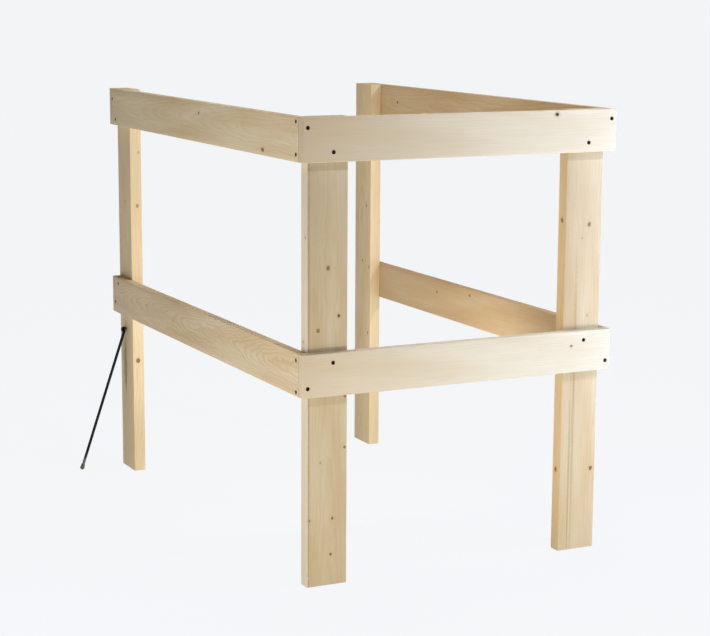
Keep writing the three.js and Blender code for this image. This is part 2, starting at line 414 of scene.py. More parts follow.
@dataclass(frozen=True)
class PlanedSpruce:
    """Planed spruce, unfinished.

    It gives the eye a pale cream ground with narrow amber year rings, fine silky fibres along the board,
    small brown knots with a dark rim, and end grain that looks darker than the faces.

    Attributes:
        early: the pale wood that a year's ring starts with.
        warm: the broad, warmer patches in it.
        late: the dark wood that a ring ends with.
        ring_strength: how much of the late wood's colour the rings show.
        resin: the amber round a knot.
        knot_heart: a knot's middle.
        knot_rim: a knot's dark rim.
        dead_knot: a dead knot's bark.
        roughness: the planed faces' mean roughness.
        fibre_mm: how wide the fibres are.
        fibre_length_mm: how long they are.
        patch_mm: how wide the warm patches are.
        patch_length_mm: how long they are.
        wander_mm: over what width the rings wander.
        wander_length_mm: over what length they wander.
        ripple_width_mm: over what width they ripple.
        ripple_length_mm: over what length they ripple.
        knot_push_mm: how far a knot pushes the rings aside.
        knot_waver_mm: over what width a knot's outline wavers.
        halo: how strongly a sound knot's resin stains the wood round it.
        edge_fade_mm: how far the lowest narrow face's colour reaches round its corners.
        dark_end_reach: where the painted shade over the lowest end fades out, past the board's middle, as a
            share of its length.
        end_grain: how much of the late wood's colour the end grain shows.
        relief_mm: how far late wood and fibres stand proud.
    """

    early: str
    warm: str
    late: str
    ring_strength: float
    resin: str = "#C09A62"
    knot_heart: str = "#8E692C"
    knot_rim: str = "#62471F"
    dead_knot: str = "#241A10"
    roughness: float = 0.62
    fibre_mm: float = 0.9  # spruce fibre is finer; drawn this coarse so that it shows
    fibre_length_mm: float = 70.0
    patch_mm: float = 45.0
    patch_length_mm: float = 260.0
    wander_mm: float = 90.0
    wander_length_mm: float = 330.0
    ripple_width_mm: float = 16.0
    ripple_length_mm: float = 40.0
    knot_push_mm: float = 10.0
    knot_waver_mm: float = 4.0
    halo: float = 0.28
    edge_fade_mm: float = 2.5
    dark_end_reach: float = 0.12
    end_grain: float = 0.16
    relief_mm: float = 0.25

    def material(self, name: str, board: "BoardAxes", grain: Grain) -> bpy.types.Material:
        """Makes the finish for one board.

        Args:
            name: the material's name.
            board: the board's middle, directions and sizes.
            grain: how the grain runs in it.

        Returns:
            The material.
        """
        material, tree, shader = new_material(name)
        inside = self._board_space(tree, board)
        knots = self._knots(tree, inside, board, grain)
        rings = self._ring_profile(tree, self._ring_phase(tree, inside, knots[0], grain))
        fibre = add_node(tree, "TexNoise", inputs={
            "Vector": add_node(tree, "VectorMath", {"operation": "MULTIPLY"}, {
                0: inside, 1: board_scale(self.fibre_mm, self.fibre_length_mm),
            }).outputs[0],
            "Scale": 1.0, "Detail": 3.0, "Roughness": 0.6,
        }).outputs["Fac"]
        layers = self._ground_layers(tree, inside, board, grain)
        layers += self._mark_layers(tree, rings, fibre, knots, board)
        colour: Any = linear(self.early)
        for share, hex_colour in layers:
            colour = add_node(tree, "Mix", {"data_type": "RGBA"}, {
                0: share, 6: colour, 7: linear(hex_colour),
            }).outputs[2]
        tree.links.new(colour, shader.inputs["Base Color"])
        relief = self._relief(tree, rings, fibre, knots[1])
        tree.links.new(relief, shader.inputs["Normal"])
        rough = add_node(tree, "MapRange", inputs={
            "Value": fibre, "From Min": 0.3, "From Max": 0.7,
            "To Min": self.roughness - 0.07, "To Max": self.roughness + 0.08,
        }).outputs[0]
        tree.links.new(rough, shader.inputs["Roughness"])
        shader.inputs["IOR"].default_value = 1.5
        return material

    def _board_space(self, tree: bpy.types.NodeTree, board: "BoardAxes") -> bpy.types.NodeSocket:
        """Measures the place in the board.

        Args:
            tree: the material's node tree.
            board: the board's middle, directions and sizes.

        Returns:
            Millimetres from the board's middle, as (thickness, width, length).
        """
        coordinate = add_node(tree, "TexCoord")
        turn = board.matrix.to_3x3().transposed()
        middle = turn @ (board.middle / MM)
        mapped = add_node(tree, "Mapping", {"vector_type": "POINT"}, {
            "Vector": coordinate.outputs["Object"],
            "Scale": (1 / MM, 1 / MM, 1 / MM),
            "Rotation": turn.to_euler("XYZ"),
            "Location": -middle,
        })
        return mapped.outputs["Vector"]

    def _knots(
        self, tree: bpy.types.NodeTree, inside: bpy.types.NodeSocket, board: "BoardAxes", grain: Grain
    ) -> tuple[Any, Any, Any]:
        """Finds the knots round each point.

        Args:
            tree: the material's node tree.
            inside: the place in the board, in mm.
            board: the board's middle, directions and sizes.
            grain: the board's grain, which lists the knots.

        Returns:
            How many knot radii away the nearest knot's middle is, how dark the knot is there, and how far
            its resin has stained the wood round it.
        """
        waver = add_node(tree, "TexNoise", inputs={
            "Vector": inside, "Scale": 1 / self.knot_waver_mm, "Detail": 2.0,
        })
        wobble = add_node(tree, "MapRange", inputs={
            "Value": waver.outputs["Fac"], "From Min": 0.3, "From Max": 0.7, "To Min": 0.8, "To Max": 1.25,
        }).outputs[0]
        nearest: Any = 9.0  # radii, farther than any knot reaches
        darkness: Any = 0.0
        stain: Any = 0.0
        for knot in grain.knots:
            across_index = 1 if knot.through is Through.WIDE else 0
            span = (board.width if across_index else board.thickness) / MM
            shrink = [0.0, 0.0, 1 / (knot.stretch * knot.radius)]
            shrink[across_index] = 1 / knot.radius
            middle = [0.0, 0.0, knot.along - board.length / MM / 2]
            middle[across_index] = knot.across - span / 2
            offset = add_node(tree, "VectorMath", {"operation": "SUBTRACT"}, {0: inside, 1: middle})
            scaled = add_node(tree, "VectorMath", {"operation": "MULTIPLY"}, {
                0: offset.outputs[0], 1: shrink,
            })
            away = add_node(tree, "VectorMath", {"operation": "LENGTH"}, {0: scaled.outputs[0]})
            radii = add_node(tree, "Math", {"operation": "MULTIPLY"}, {
                0: away.outputs["Value"], 1: wobble,
            }).outputs[0]
            nearest = add_node(tree, "Math", {"operation": "MINIMUM"}, {0: radii, 1: nearest}).outputs[0]
            dark = add_node(tree, "MapRange", {"interpolation_type": "SMOOTHSTEP"}, {
                "Value": radii, "From Min": 0.7, "From Max": 1.25, "To Min": knot.tone, "To Max": 0.0,
            }).outputs[0]
            darkness = add_node(tree, "Math", {"operation": "MAXIMUM"}, {0: dark, 1: darkness}).outputs[0]
            halo = add_node(tree, "MapRange", {"interpolation_type": "SMOOTHSTEP"}, {
                "Value": radii, "From Min": 0.9, "From Max": 2.8, "To Min": self.halo * knot.tone,
                "To Max": 0.0,
            }).outputs[0]
            stain = add_node(tree, "Math", {"operation": "MAXIMUM"}, {0: halo, 1: stain}).outputs[0]
        return nearest, darkness, stain

    def _ring_phase(
        self, tree: bpy.types.NodeTree, inside: bpy.types.NodeSocket, knot_near: Any, grain: Grain
    ) -> bpy.types.NodeSocket:
        """Counts the year rings outward from the pith, bent round the knots.

        Args:
            tree: the material's node tree.
            inside: the place in the board, in mm.
            knot_near: how many knot radii away the nearest knot is.
            grain: how the board's grain runs.

        Returns:
            A count that rises by one with each ring.
        """
        pith_thickness, pith_width = grain.cut.value
        flat = add_node(tree, "VectorMath", {"operation": "MULTIPLY"}, {0: inside, 1: (1, 1, 0)})
        radius = add_node(tree, "VectorMath", {"operation": "DISTANCE"}, {
            0: flat.outputs[0], 1: (pith_thickness, pith_width, 0),
        })
        length = add_node(tree, "SeparateXYZ", inputs={0: inside}).outputs[2]
        climbed = add_node(tree, "Math", {"operation": "MULTIPLY_ADD"}, {
            0: length, 1: grain.taper, 2: radius.outputs["Value"],
        })
        wander = add_node(tree, "TexNoise", inputs={
            "Vector": add_node(tree, "VectorMath", {"operation": "MULTIPLY_ADD"}, {
                0: inside, 1: board_scale(self.wander_mm, self.wander_length_mm), 2: (grain.seed, 0, 0),
            }).outputs[0],
            "Scale": 1.0, "Detail": 2.0, "Roughness": 0.45,
        })
        swing = 4 * grain.waver_mm  # noise mostly keeps within an eighth of its middle either way
        wandered = add_node(tree, "Math", {"operation": "MULTIPLY_ADD"}, {
            0: wander.outputs["Fac"], 1: swing, 2: climbed.outputs[0],
        })
        ripple = add_node(tree, "TexNoise", inputs={
            "Vector": add_node(tree, "VectorMath", {"operation": "MULTIPLY"}, {
                0: inside, 1: board_scale(self.ripple_width_mm, self.ripple_length_mm),
            }).outputs[0],
            "Scale": 1.0, "Detail": 1.0,
        })
        rippled = add_node(tree, "Math", {"operation": "MULTIPLY_ADD"}, {
            0: ripple.outputs["Fac"], 1: grain.ripple_mm, 2: wandered.outputs[0],
        })
        push = add_node(tree, "MapRange", {"interpolation_type": "SMOOTHERSTEP"}, {
            "Value": knot_near, "From Min": 0.6, "From Max": 4.5, "To Min": self.knot_push_mm,
            "To Max": 0.0,
        })
        pushed = add_node(tree, "Math", {"operation": "ADD"}, {0: rippled.outputs[0], 1: push.outputs[0]})
        return add_node(tree, "Math", {"operation": "DIVIDE"}, {
            0: pushed.outputs[0], 1: grain.ring_mm,
        }).outputs[0]

    def _ring_profile(self, tree: bpy.types.NodeTree, phase: bpy.types.NodeSocket) -> bpy.types.NodeSocket:
        """Draws each ring's late wood: a slow rise and a sharp fall, stronger in some years.

        Args:
            tree: the material's node tree.
            phase: the count of the rings.

        Returns:
            The share of late wood, from 0 to 1.
        """
        share = add_node(tree, "Math", {"operation": "FRACT"}, {0: phase})
        ramp = add_node(tree, "ValToRGB", inputs={"Fac": share.outputs[0]})
        ramp.color_ramp.elements[0].color = (0, 0, 0, 1)
        ramp.color_ramp.elements[1].color = (0, 0, 0, 1)
        for position, level in ((0.45, 0.12), (0.8, 0.75), (0.9, 1.0)):
            ramp.color_ramp.elements.new(position).color = (level, level, level, 1)
        years = add_node(tree, "TexNoise", {"noise_dimensions": "1D"}, {"W": phase, "Scale": 0.37})
        strong = add_node(tree, "MapRange", inputs={
            "Value": years.outputs["Fac"], "From Min": 0.3, "From Max": 0.7, "To Min": 0.45, "To Max": 1.0,
        })
        return add_node(tree, "Math", {"operation": "MULTIPLY"}, {
            0: ramp.outputs["Color"], 1: strong.outputs[0],
        }).outputs[0]

    def _ground_layers(
        self, tree: bpy.types.NodeTree, inside: bpy.types.NodeSocket, board: "BoardAxes", grain: Grain
    ) -> list[tuple[Any, str]]:
        """Varies the early wood: warm patches, a colour over the lowest narrow face that is partly painted
        light, and painted shade over the lowest end.

        Args:
            tree: the material's node tree.
            inside: the place in the board, in mm.
            board: the board's sizes.
            grain: what is known of the board.

        Returns:
            Each layer's share and colour, from the bottom up.
        """
        broad = add_node(tree, "TexNoise", inputs={
            "Vector": add_node(tree, "VectorMath", {"operation": "MULTIPLY"}, {
                0: inside, 1: board_scale(self.patch_mm, self.patch_length_mm),
            }).outputs[0],
            "Scale": 1.0, "Detail": 3.0,
        })
        patches = add_node(tree, "MapRange", inputs={
            "Value": broad.outputs["Fac"], "From Min": 0.35, "From Max": 0.68,
            "To Min": 0.0, "To Max": 0.85,
        }).outputs[0]
        layers = [(patches, self.warm)]
        # the lowest narrow face's colour: heartwood on some boards, painted light on others
        if grain.edge_wood_and_light_amount:
            low_edge = -board.width / MM / 2
            across = add_node(tree, "SeparateXYZ", inputs={0: inside}).outputs[1]
            edge = add_node(tree, "MapRange", {"interpolation_type": "SMOOTHSTEP"}, {
                "Value": across, "From Min": low_edge, "From Max": low_edge + self.edge_fade_mm,
                "To Min": grain.edge_wood_and_light_amount, "To Max": 0.0,
            }).outputs[0]
            layers.append((edge, grain.edge_wood_and_light_colour))
        # painted shade: the late wood's colour laid over the lowest end, fading out past the middle
        if grain.dark_end:
            length = board.length / MM
            along = add_node(tree, "SeparateXYZ", inputs={0: inside}).outputs[2]
            end = add_node(tree, "MapRange", inputs={
                "Value": along, "From Min": -length / 2, "From Max": self.dark_end_reach * length,
                "To Min": grain.dark_end, "To Max": 0.0,
            }).outputs[0]
            layers.append((end, self.late))
        return layers

    def _mark_layers(
        self, tree: bpy.types.NodeTree, rings: bpy.types.NodeSocket, fibre: bpy.types.NodeSocket,
        knots: tuple[Any, Any, Any], board: "BoardAxes",
    ) -> list[tuple[Any, str]]:
        """Marks the ground with rings, fibres, knots and the darker end grain.

        Args:
            tree: the material's node tree.
            rings: the share of late wood.
            fibre: the fibres' pattern.
            knots: the nearest knot's distance, darkness and stain.
            board: the board's directions.

        Returns:
            Each layer's share and colour, from the bottom up.
        """
        knot_near, knot_dark, knot_stain = knots
        ring_share = add_node(tree, "Math", {"operation": "MULTIPLY"}, {0: rings, 1: self.ring_strength})
        fibre_share = add_node(tree, "MapRange", inputs={
            "Value": fibre, "From Min": 0.35, "From Max": 0.7, "To Min": 0.0, "To Max": 0.22,
        })
        heart = add_node(tree, "MapRange", {"interpolation_type": "SMOOTHSTEP"}, {
            "Value": knot_near, "From Min": 0.3, "From Max": 0.75, "To Min": 0.8, "To Max": 0.0,
        })
        heart_share = add_node(tree, "Math", {"operation": "MULTIPLY", "use_clamp": True}, {
            0: heart.outputs[0], 1: knot_dark,
        })
        dead = add_node(tree, "Math", {"operation": "SUBTRACT", "use_clamp": True}, {0: knot_dark, 1: 1.0})
        along = board.matrix.col[2].to_3d()
        facing = add_node(tree, "VectorMath", {"operation": "DOT_PRODUCT"}, {
            0: add_node(tree, "TexCoord").outputs["Normal"], 1: along,
        })
        end = add_node(tree, "Math", {"operation": "ABSOLUTE"}, {0: facing.outputs["Value"]})
        end_share = add_node(tree, "MapRange", inputs={
            "Value": end.outputs[0], "From Min": 0.6, "From Max": 0.95, "To Min": 0.0,
            "To Max": self.end_grain,
        })
        return [
            (ring_share.outputs[0], self.late),
            (fibre_share.outputs[0], self.late),
            (knot_stain, self.resin),
            (knot_dark, self.knot_rim),
            (heart_share.outputs[0], self.knot_heart),
            (dead.outputs[0], self.dead_knot),
            (end_share.outputs[0], self.late),
        ]

    def _relief(
        self, tree: bpy.types.NodeTree, rings: bpy.types.NodeSocket, fibre: bpy.types.NodeSocket,
        knot_dark: Any,
    ) -> bpy.types.NodeSocket:
        """Stands late wood and fibres a little proud after planing, and sinks the knots.

        Args:
            tree: the material's node tree.
            rings: the share of late wood.
            fibre: the fibres' pattern.
            knot_dark: how dark the knots are.

        Returns:
            The bumped normal.
        """
        fibres = add_node(tree, "Math", {"operation": "MULTIPLY"}, {0: fibre, 1: 0.5})
        height = add_node(tree, "Math", {"operation": "MULTIPLY_ADD"}, {
            0: rings, 1: 0.35, 2: fibres.outputs[0],
        })
        total = add_node(tree, "Math", {"operation": "MULTIPLY_ADD"}, {
            0: knot_dark, 1: -0.8, 2: height.outputs[0],
        })
        return add_node(tree, "Bump", inputs={
            "Strength": 0.5, "Distance": self.relief_mm * MM, "Height": total.outputs[0],
        }).outputs["Normal"]


@dataclass(frozen=True)
class DarkSteel:
    """Steel under a thin dark coat, phosphated or painted.

    It gives the eye a near-black surface with a soft sheen, faint mottling, and, where soil_height_mm is
    above zero, a coat worn through to dull brown metal near the ground.

    Attributes:
        coat: the coat's colour.
        worn: the metal's colour where the coat is gone.
        metallic: how metallic the surface looks; paint is not, phosphated steel is.
        roughness: its mean roughness.
        mottle_mm: how wide the mottling's spots are.
        wear: how much worn metal shows in them.
        relief: how strongly they stand out.
        soil_height_mm: how high above the ground the coat is worn through.
        wear_edge: how ragged that height is, in metres.
        specular: how strongly the surface shines.
    """

    coat: str = "#26221F"
    worn: str = "#6E6252"
    metallic: float = 0.55
    roughness: float = 0.48
    mottle_mm: float = 1.4  # a coat's crystals are far finer; drawn this coarse so that they show
    wear: float = 0.3
    relief: float = 0.3
    soil_height_mm: float = 0.0
    wear_edge: float = 12 * MM
    specular: float = 0.5

    def material(self, name: str) -> bpy.types.Material:
        """Makes the finish.

        Args:
            name: the material's name.

        Returns:
            The material.
        """
        material, tree, shader = new_material(name)
        coordinate = add_node(tree, "TexCoord").outputs["Object"]
        mottle = add_node(tree, "TexNoise", inputs={
            "Vector": coordinate, "Scale": 1 / (self.mottle_mm * MM), "Detail": 4.0, "Roughness": 0.6,
        }).outputs["Fac"]
        worn = add_node(tree, "MapRange", inputs={
            "Value": mottle, "From Min": 0.5, "From Max": 0.8, "To Min": 0.0, "To Max": self.wear,
        }).outputs[0]
        if self.soil_height_mm:
            height = add_node(tree, "SeparateXYZ", inputs={0: coordinate}).outputs[2]
            ragged = add_node(tree, "MapRange", inputs={
                "Value": mottle, "From Min": 0.3, "From Max": 0.7, "To Min": -self.wear_edge,
                "To Max": self.wear_edge,
            }).outputs[0]
            level = add_node(tree, "Math", {"operation": "ADD"}, {0: height, 1: ragged}).outputs[0]
            low = add_node(tree, "MapRange", {"interpolation_type": "SMOOTHSTEP"}, {
                "Value": level, "From Min": 0.3 * self.soil_height_mm * MM,
                "From Max": self.soil_height_mm * MM, "To Min": 0.9, "To Max": 0.0,
            }).outputs[0]
            worn = add_node(tree, "Math", {"operation": "MAXIMUM"}, {0: worn, 1: low}).outputs[0]
        colour = add_node(tree, "Mix", {"data_type": "RGBA"}, {
            0: worn, 6: linear(self.coat), 7: linear(self.worn),
        }).outputs[2]
        rough = add_node(tree, "MapRange", inputs={
            "Value": mottle, "From Min": 0.3, "From Max": 0.7,
            "To Min": self.roughness - 0.08, "To Max": self.roughness + 0.12,
        }).outputs[0]
        coat_thickness = 0.05 * MM
        bump = add_node(tree, "Bump", inputs={
            "Strength": self.relief, "Distance": coat_thickness, "Height": mottle,
        })
        tree.links.new(colour, shader.inputs["Base Color"])
        tree.links.new(rough, shader.inputs["Roughness"])
        tree.links.new(bump.outputs["Normal"], shader.inputs["Normal"])
        shader.inputs["Metallic"].default_value = self.metallic
        shader.inputs["Specular IOR Level"].default_value = self.specular
        return material


@dataclass(frozen=True)
class DustyRubber:
    """Moulded rubber that has stood on soil.

    It gives the eye a matt brown-grey surface with pale dust in a fine, uneven grain.

    Attributes:
        rubber: the rubber's colour.
        dust: the dust's colour.
        roughness: the surface's roughness.
        grain_mm: how wide the dust's spots are.
    """

    rubber: str = "#3A332B"
    dust: str = "#7A6D5B"
    roughness: float = 0.85
    grain_mm: float = 0.8  # soil dust is finer; drawn this coarse so that it shows

    def material(self, name: str) -> bpy.types.Material:
        """Makes the finish.

        Args:
            name: the material's name.

        Returns:
            The material.
        """
        material, tree, shader = new_material(name)
        grain = add_node(tree, "TexNoise", inputs={
            "Vector": add_node(tree, "TexCoord").outputs["Object"],
            "Scale": 1 / (self.grain_mm * MM), "Detail": 5.0,
        }).outputs["Fac"]
        dusty = add_node(tree, "MapRange", inputs={
            "Value": grain, "From Min": 0.4, "From Max": 0.7, "To Min": 0.1, "To Max": 0.8,
        }).outputs[0]
        colour = add_node(tree, "Mix", {"data_type": "RGBA"}, {
            0: dusty, 6: linear(self.rubber), 7: linear(self.dust),
        }).outputs[2]
        dust_depth = 0.1 * MM
        bump = add_node(tree, "Bump", inputs={"Strength": 0.4, "Distance": dust_depth, "Height": grain})
        tree.links.new(colour, shader.inputs["Base Color"])
        tree.links.new(bump.outputs["Normal"], shader.inputs["Normal"])
        shader.inputs["Roughness"].default_value = self.roughness
        return material


# ---- Screws ------------------------------------------------------------------------------------------


@dataclass
class WoodScrew:
    """A countersunk wood screw with a cross recess, made once and copied to each place.

    Attributes:
        length: from the head's top to the point.
        head_radius: the head's widest radius.
        head_height: from the head's top to where the shank starts.
        shank_radius: the plain shank's radius, and the thread's.
        root_radius: the radius between the threads.
        thread_pitch: from one turn of the thread to the next.
        thread_root: how far the thread's ridge is sunk into the core.
        thread_inset: how far its crest stays under the plain shank, so that the two never share a face.
        point_length: how much of the end is drawn to a point.
        rim_bevel: how far in from the rim the head's top starts to fall.
        rim_top: how far the rim's upper edge lies below the head's top.
        rim_bottom: how far its lower edge lies below it.
        plain_share: the share of the length that has no thread.
        sides: how many sides the round has.
        clearance: how far its hole stands off it.
        pattern: the screw, once it is built.
        drill: the shape its hole is cut with, once it is built.
    """

    length: float = 45 * MM
    head_radius: float = 4.1 * MM
    head_height: float = 2.8 * MM
    shank_radius: float = 2.1 * MM
    root_radius: float = 1.45 * MM
    thread_pitch: float = 2.2 * MM
    thread_root: float = 0.12 * MM
    thread_inset: float = 0.03 * MM
    point_length: float = 8.0 * MM
    rim_bevel: float = 0.35 * MM
    rim_top: float = 0.3 * MM
    rim_bottom: float = 0.55 * MM
    plain_share: float = 0.38
    sides: int = 24
    clearance: float = 0.3 * MM
    pattern: bpy.types.Object | None = field(default=None, init=False)
    drill: bpy.types.Object | None = field(default=None, init=False)

    def build(self) -> None:
        """Models the pattern screw and the drill, both along -Z with the head's top at the origin."""
        plain_end = -self.length * self.plain_share
        neck = 0.5 * MM  # the step from the plain shank down to the core
        thread_start = 1.0 * MM  # below the plain shank
        self.pattern = turned_shape("screw_pattern", [
            (0.0, 0.0),
            (self.head_radius - self.rim_bevel, 0.0),
            (self.head_radius, -self.rim_top),
            (self.head_radius, -self.rim_bottom),
            (self.shank_radius, -self.head_height),
            (self.shank_radius, plain_end),
            (self.root_radius, plain_end - neck),
            (self.root_radius, -self.length),
            (0.0, -self.length),
        ], self.sides)
        join_to(self.pattern, self._thread(plain_end + thread_start))
        self._sharpen_point()
        cut_away(self.pattern, [self._cross_recess()])
        smooth(self.pattern, degrees=40)
        wide = self.head_radius + self.clearance
        narrow = self.shank_radius + self.clearance
        above_face = 2 * MM
        drill_point = 4 * MM
        self.drill = turned_shape("screw_drill", [
            (0.0, above_face),
            (wide, above_face),
            (wide, -self.rim_bottom),
            (narrow, -self.head_height - self.clearance),
            (narrow, -self.length + drill_point),
            (0.0, -self.length - 2 * self.clearance),
        ], self.sides)

    def _thread(self, start: float) -> bpy.types.Object:
        """Winds the thread, one ridge, down the screw.

        Args:
            start: the height where it begins.

        Returns:
            The closed ridge, a little sunk into the shank.
        """
        deselect_all()
        inner = self.root_radius - self.thread_root
        outer = self.shank_radius - self.thread_inset
        bpy.ops.mesh.primitive_circle_add(
            vertices=4, radius=(outer - inner) / 2, location=((inner + outer) / 2, 0, start),
            rotation=(math.pi / 2, 0, 0),
        )
        ridge = bpy.context.object
        apply_place(ridge)
        half_side = math.pi / self.sides
        ridge.data.transform(Matrix.Rotation(half_side, 4, "Z"))
        wind = ridge.modifiers.new("wind", "SCREW")
        wind.axis = "Z"
        wind.iterations = int((start + self.length) / self.thread_pitch) - 1
        wind.screw_offset = -self.thread_pitch
        wind.steps = wind.render_steps = self.sides
        apply_modifiers(ridge)
        bpy.ops.object.mode_set(mode="EDIT")
        bpy.ops.mesh.select_all(action="SELECT")
        bpy.ops.mesh.fill_holes(sides=4)
        bpy.ops.mesh.select_all(action="SELECT")
        bpy.ops.mesh.normals_make_consistent(inside=False)
        bpy.ops.object.mode_set(mode="OBJECT")
        return ridge

    def _sharpen_point(self) -> None:
        """Draws the screw's last few millimetres out to a point, thread and all."""
        make_active(self.pattern)
        bpy.ops.object.mode_set(mode="EDIT")
        bpy.ops.mesh.select_mode(type="VERT")
        near_end = -self.length + 0.05 * MM
        select_vertices(self.pattern, lambda vertex: vertex.co.z < near_end)
        blunt = 0.06  # the point's share of the core's width
        bpy.ops.transform.resize(
            value=(blunt, blunt, 1), center_override=(0, 0, -self.length), use_proportional_edit=True,
            proportional_edit_falloff="LINEAR", proportional_size=self.point_length,
        )
        bpy.ops.object.mode_set(mode="OBJECT")

    def _cross_recess(self) -> bpy.types.Object:
        """Shapes the cross recess: two crossed wings that narrow downwards.

        Returns:
            The shape to cut out of the head.
        """
        wing_length, wing_width, depth = 3.2 * MM, 0.55 * MM, 2.0 * MM
        narrowed = (0.3, 0.7, 1.0)  # the share of each wing's size that is left at its foot
        wings = []
        for turn in (0.0, math.pi / 2):
            deselect_all()
            bpy.ops.mesh.primitive_cube_add(size=1.0, location=(0, 0, 0))
            wing = bpy.context.object
            wing.scale = (2 * wing_length, 2 * wing_width, 2 * depth)
            apply_place(wing)
            bpy.ops.object.mode_set(mode="EDIT")
            select_vertices(wing, lambda vertex: vertex.co.z < 0)
            bpy.ops.transform.resize(value=narrowed, center_override=(0, 0, 0))
            bpy.ops.object.mode_set(mode="OBJECT")
            wing.data.transform(Matrix.Rotation(turn, 4, "Z"))
            wings.append(wing)
        join_to(wings[0], wings[1])
        return wings[0]

    def remove_patterns(self) -> None:
        """Takes the pattern and the drill out of the scene once every copy is made."""
        for tool in (self.pattern, self.drill):
            bpy.data.objects.remove(tool)


@dataclass(frozen=True)
class ScrewPlace:
    """Where one screw is driven.

    Attributes:
        node: the screw's node.
        matrix: turns and moves the pattern to its place.
        low: the screw's lowest corner.
        high: the screw's highest corner.
    """

    node: str
    matrix: Matrix
    low: Vector
    high: Vector

    @classmethod
    def of_node(cls, node: str, rng: random.Random) -> "ScrewPlace":
        """Reads a screw's place from its node, and turns its recess at random.

        Args:
            node: the screw's node, named after the face it is driven into.
            rng: the source of the recess's turn.

        Returns:
            The place.
        """
        facing = Facing[node.split("_")[1].upper()]
        low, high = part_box(node)
        middle = (low + high) / 2
        reach = (high - low) / 2
        head = middle + Vector(f * r for f, r in zip(facing.vector, reach))
        turn = facing.vector.to_track_quat("Z", "Y").to_matrix().to_4x4()
        matrix = Matrix.Translation(head) @ turn @ Matrix.Rotation(rng.uniform(0, math.pi / 2), 4, "Z")
        return cls(node, matrix, low, high)

    def enters(self, low: Vector, high: Vector) -> bool:
        """Whether the screw reaches into the space between two corners."""
        return all(self.low[i] < high[i] and self.high[i] > low[i] for i in range(3))


# ---- Boards ------------------------------------------------------------------------------------------


@dataclass(frozen=True)
class BoardAxes:
    """A board's middle, sizes and directions, read from its node's box.

    Attributes:
        low: the lowest corner.
        high: the highest corner.
        matrix: columns along the board's thickness, width and length.
    """

    low: Vector
    high: Vector
    matrix: Matrix

    @classmethod
    def of_node(cls, node: str) -> "BoardAxes":
        """Reads the axes from a node: the shortest side is the thickness, the longest the length.

        Args:
            node: the board's node.

        Returns:
            The axes.
        """
        low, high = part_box(node)
        size = high - low
        order = sorted(range(3), key=lambda i: size[i])
        columns = [Vector([float(i == axis) for i in range(3)]) for axis in order]
        if columns[0].cross(columns[1]).dot(columns[2]) < 0:
            columns[0].negate()
        matrix = Matrix(columns).transposed().to_4x4()
        return cls(low, high, matrix)

    @property
    def middle(self) -> Vector:
        """The board's middle."""
        return (self.low + self.high) / 2

    @property
    def thickness(self) -> float:
        """The shortest side."""
        return min(self.high - self.low)

    @property
    def length(self) -> float:
        """The longest side."""
        return max(self.high - self.low)

    @property
    def width(self) -> float:
        """The side between the shortest and the longest."""
        return sorted(self.high - self.low)[1]

    @property
    def length_index(self) -> int:
        """Which of X, Y and Z the board runs along."""
        size = self.high - self.low
        return max(range(3), key=lambda i: size[i])


@dataclass
class Board:
    """One planed board with eased edges, drilled for its screws.

    Attributes:
        node: the node it stands for.
        slot: the record's material slot.
        finish: its timber.
        grain: how its grain runs.
        eased_edge: the radius of its long edges.
        sawn_edge: how far its sawn ends' edges are broken.
        axes: its middle, sizes and directions, read from its node.
        piece: the board, once it is built.
    """

    node: str
    # slot: the record's material slot; not used.
    slot: str
    finish: PlanedSpruce
    grain: Grain
    eased_edge: float = 2.0 * MM
    sawn_edge: float = 0.5 * MM
    axes: BoardAxes = field(init=False)
    piece: bpy.types.Object = field(init=False)

    def __post_init__(self) -> None:
        """Reads the board's place from its node."""
        self.axes = BoardAxes.of_node(self.node)

    def build(self, tools: Sequence[bpy.types.Object]) -> bpy.types.Object:
        """Models and dresses the board.

        Args:
            tools: the shapes that are cut out of it.

        Returns:
            The finished board.
        """
        self.piece = box_between(f"{self.node}_board", self.axes.low, self.axes.high)
        self._ease_edges()
        cut_away(self.piece, tools)
        smooth(self.piece)
        name = f"planed_spruce_{self.node}"
        self.piece.data.materials.append(self.finish.material(name, self.axes, self.grain))
        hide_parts(self.node)
        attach(self.piece, FRAME_BODY)
        return self.piece

    def _ease_edges(self) -> None:
        """Rounds the long edges as a planer does, and takes the sharpness off the sawn ends."""
        index = self.axes.length_index
        make_active(self.piece)
        bpy.ops.object.mode_set(mode="EDIT")

        def runs_along(edge: bmesh.types.BMEdge) -> bool:
            """Whether an edge runs the board's length."""
            return abs(edge.verts[0].co[index] - edge.verts[1].co[index]) > self.axes.length / 2

        select_edges(self.piece, runs_along)
        bpy.ops.mesh.bevel(offset=self.eased_edge, offset_type="OFFSET", segments=4, affect="EDGES")
        ends = (self.axes.low[index], self.axes.high[index])

        def lies_in_end(edge: bmesh.types.BMEdge) -> bool:
            """Whether an edge lies in one of the sawn ends."""
            return any(all(abs(v.co[index] - end) < TOUCHING for v in edge.verts) for end in ends)

        select_edges(self.piece, lies_in_end)
        bpy.ops.mesh.bevel(offset=self.sawn_edge, offset_type="OFFSET", segments=2, affect="EDGES")
        bpy.ops.object.mode_set(mode="OBJECT")


